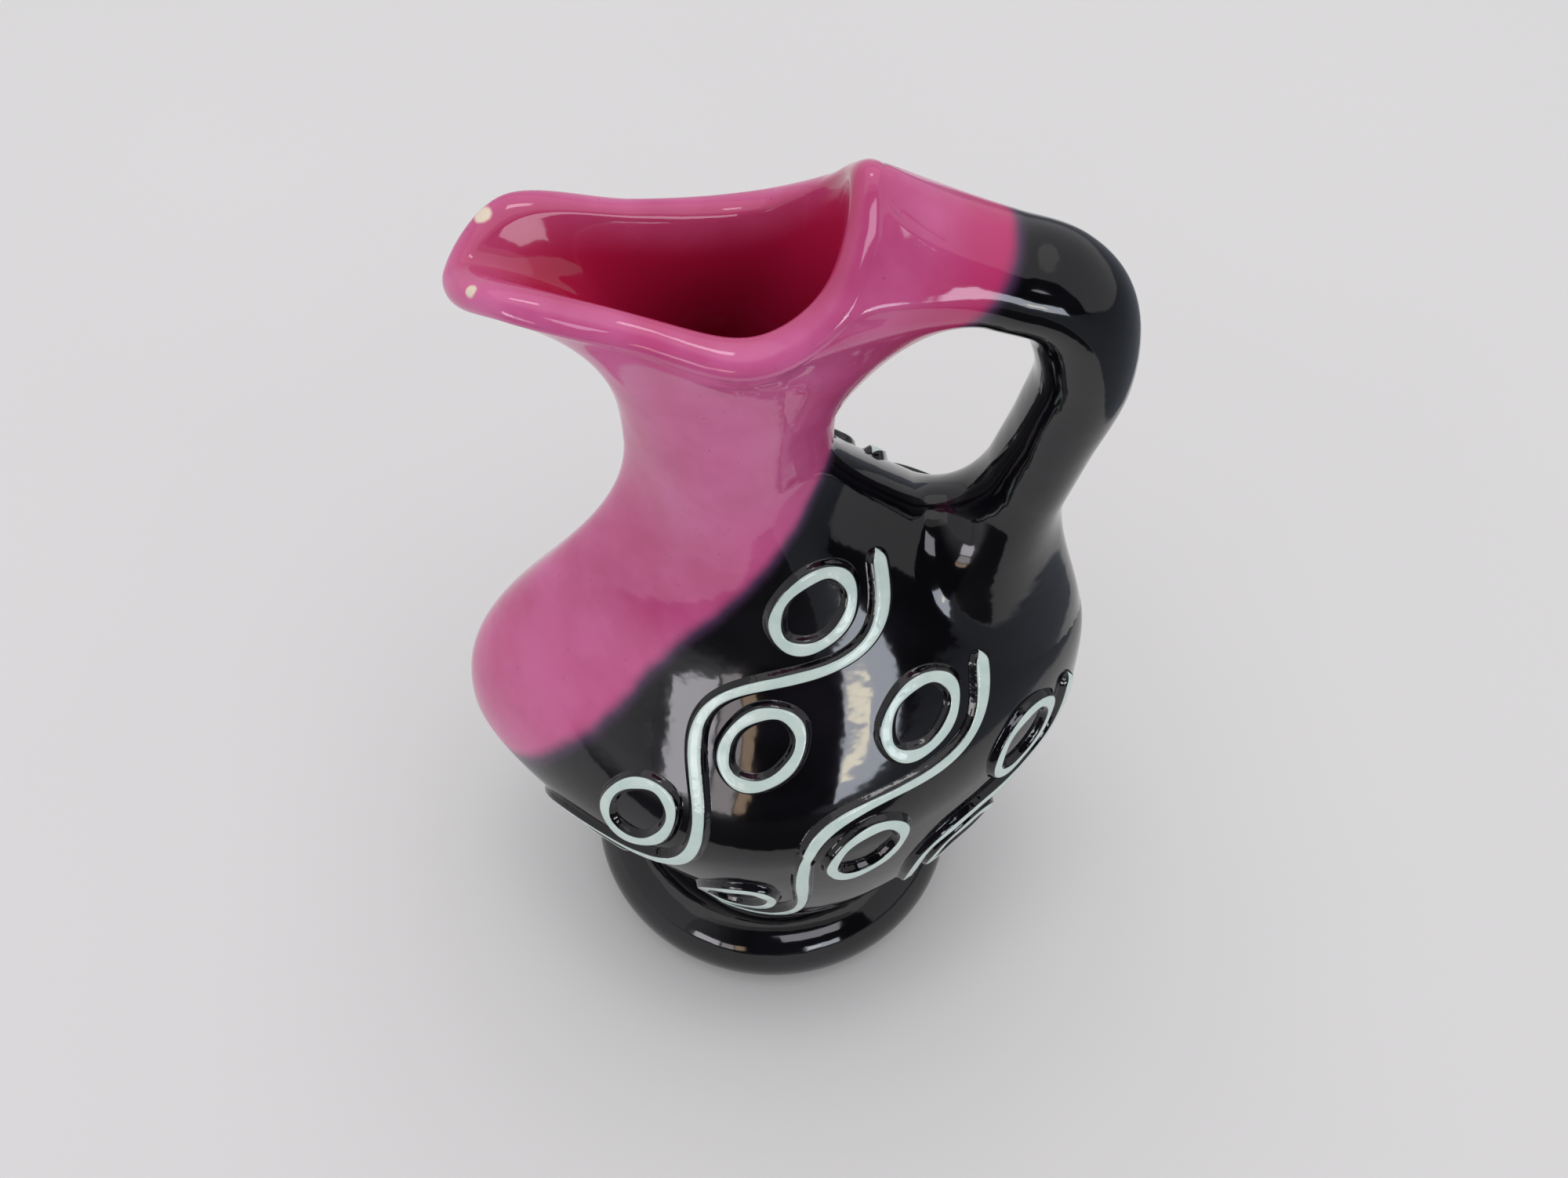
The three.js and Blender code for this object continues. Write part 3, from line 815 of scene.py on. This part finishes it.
def slip_glaze():
    """Pale on the flat top of a line, black down its flanks."""
    finish = Finish("pale_slip_black_flanks")
    wander = (finish.noise(160, 2) - 0.5) * 0.10
    flank = finish.step(finish.number("across") + wander, *SLIP_FLANK)
    pale = finish.blend(finish.step(finish.noise(240, 3), 0.35, 0.7), PALE_SLIP, SHADED_SLIP)
    finish.set(Base_Color=finish.blend(flank, pale, black_glaze(finish)))
    finish.set(IOR=GLAZE_IOR, Roughness=0.16 - flank * 0.10)
    finish.bump(finish.noise(380, 2), 0.0005, 0.3)
    return finish.material


def paint(piece, material):
    piece.data.materials.clear()
    piece.data.materials.append(material)


def stand_for(piece, node):
    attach(piece, "root")
    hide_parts(node)


# Stage: all cards and windows are out of the picture and show in the glaze only
FLOOR_SIZE = 8
FLOOR_COLOUR = (0.79, 0.775, 0.775)
FLOOR_SHADE = 0.96
PALE_ROOM = (0.66, 0.665, 0.68)
DARK_PAPER = (0.02, 0.02, 0.023)
GREY_PAPER = (0.23, 0.255, 0.29)
CARD_SIZE = 3
# Name, place, tilt, colour, and the width over which the card fades to pale at its left edge
CARDS = [
    ("front_card", (1.0, -1.72, 0.001), 0, DARK_PAPER, 0.25),
    ("standing_card", (0.2, -1.4, 1.5), math.pi / 2, DARK_PAPER, 1.0),
    ("side_card", (1.68, 0, 0.002), 0, GREY_PAPER, 0.01),
]
# Name, place, size, radiance and colour
LAMPS = [
    ("ceiling_softbox", (0, 0.1, 1.5), (2.4, 2.4), 0.45, (1, 1, 1)),
    ("top_lamp", (0, 0, 1.3), (0.36, 0.20), 5.5, (1, 0.98, 0.97)),
]
WINDOWS = [
    ("left_window", (-0.64, -1.00, 0.15), (0.26, 0.28), 6.5, (0.97, 0.94, 1.0)),
    ("left_inner_window", (-0.42, -1.06, 0.14), (0.14, 0.24), 4.0, (0.98, 0.90, 0.93)),
    ("left_warm_wall", (-0.30, -1.07, 0.15), (0.07, 0.20), 4.0, (1, 0.72, 0.50)),
    ("right_window", (0.48, -1.10, 0.11), (0.34, 0.26), 7.0, (0.84, 0.89, 1.0)),
    ("right_gold_wall", (0.38, -1.04, 0.122), (0.14, 0.045), 9.0, (1, 0.84, 0.46)),
    ("high_window", (0.36, -0.99, 0.81), (0.62, 0.38), 4.0, (0.93, 0.91, 1.0)),
]
JUG_MIDDLE = Vector((0, 0, 0.12))
CAMERA_PLACE = (0.0029, -0.2324, 0.4911)
CAMERA_PITCH = math.radians(58)
FOCAL_PIXELS = 2600
IMAGE_WIDTH = 2000


def lay_floor():
    deselect()
    bpy.ops.mesh.primitive_plane_add(size=FLOOR_SIZE)
    floor = named("floor")
    finish = Finish("pale_floor")
    shaded = tuple(FLOOR_SHADE * value for value in FLOOR_COLOUR)
    clouds = finish.blend(finish.noise(6, 2), FLOOR_COLOUR, shaded)
    finish.set(Base_Color=clouds, Roughness=0.9, Specular_IOR_Level=0.0)
    paint(floor, finish.material)


def put_card(name, place, tilt, colour, fade):
    deselect()
    bpy.ops.mesh.primitive_plane_add(size=CARD_SIZE, location=place, rotation=(tilt, 0, 0))
    bpy.ops.object.transform_apply(location=True, rotation=True)
    sheet = named(name)
    paper = Finish(f"{name}_paper")
    left = place[0] - CARD_SIZE / 2
    inwards = paper.step(paper.axes()[0], left, left + fade)
    paper.set(Base_Color=paper.blend(inwards, PALE_ROOM, colour), Roughness=0.9)
    paint(sheet, paper.material)
    sheet.visible_camera = False
    sheet.visible_diffuse = False
    sheet.visible_shadow = False


def hang_lamp(name, place, size, radiance, colour):
    """A panel that shines at the jug."""
    lamp = bpy.data.lights.new(name, "AREA")
    lamp.shape = "RECTANGLE"
    lamp.size, lamp.size_y = size
    lamp.energy = radiance * math.pi * size[0] * size[1]
    lamp.color = colour
    holder = bpy.data.objects.new(name, lamp)
    holder.location = place
    holder.rotation_euler = (JUG_MIDDLE - holder.location).to_track_quat("-Z", "Y").to_euler()
    bpy.context.collection.objects.link(holder)
    return holder


def light_room():
    world = bpy.data.worlds.new("studio")
    bpy.context.scene.world = world
    world.use_nodes = True
    world.node_tree.nodes["Background"].inputs["Color"].default_value = (*PALE_ROOM, 1)


def set_camera():
    """The photograph's own view."""
    lens = bpy.data.cameras.new("camera")
    lens.sensor_fit = "HORIZONTAL"
    lens.sensor_width = 36
    lens.lens = lens.sensor_width * FOCAL_PIXELS / IMAGE_WIDTH
    lens.clip_start = 0.01
    camera = bpy.data.objects.new("camera", lens)
    camera.location = CAMERA_PLACE
    camera.rotation_euler = (math.pi / 2 - CAMERA_PITCH, 0, 0)
    bpy.context.collection.objects.link(camera)
    bpy.context.scene.camera = camera


# The jug
body_glaze = two_glazes("belly_and_neck_glaze", False)
handle_glaze = two_glazes("handle_glaze", True)
foot_glaze = one_black_glaze()
slip = slip_glaze()

for make, node, slot, material in (
        (make_foot, "foot", "black_glaze", foot_glaze),
        (make_belly, "belly", "black_glaze", body_glaze),
        (make_neck, "neck", "pink_glaze", body_glaze),
        (make_handle, "handle", "black_glaze", handle_glaze)):
    piece = make()
    paint(piece, material)
    stand_for(piece, node)

for face, side in (("front", -1), ("back", 1)):
    for name, sizes in BANDS.items():
        band = Band(sizes, side)
        lines = {f"{face}_{name}_wave": make_wave(f"slip_{face}_{name}_wave", band)}
        for bay in range(band.bays):
            node = f"{face}_{name}_ring_{bay + 1}"
            lines[node] = make_ring(f"slip_{node}", band, bay)
        for node, piece in lines.items():
            paint(piece, slip)
            stand_for(piece, node)

# The stage round it
lay_floor()
for card in CARDS:
    put_card(*card)
for lamp in LAMPS:
    hang_lamp(*lamp)
for window in WINDOWS:
    hang_lamp(*window).visible_diffuse = False
light_room()
set_camera()
bpy.context.scene.view_settings.view_transform = "Standard"
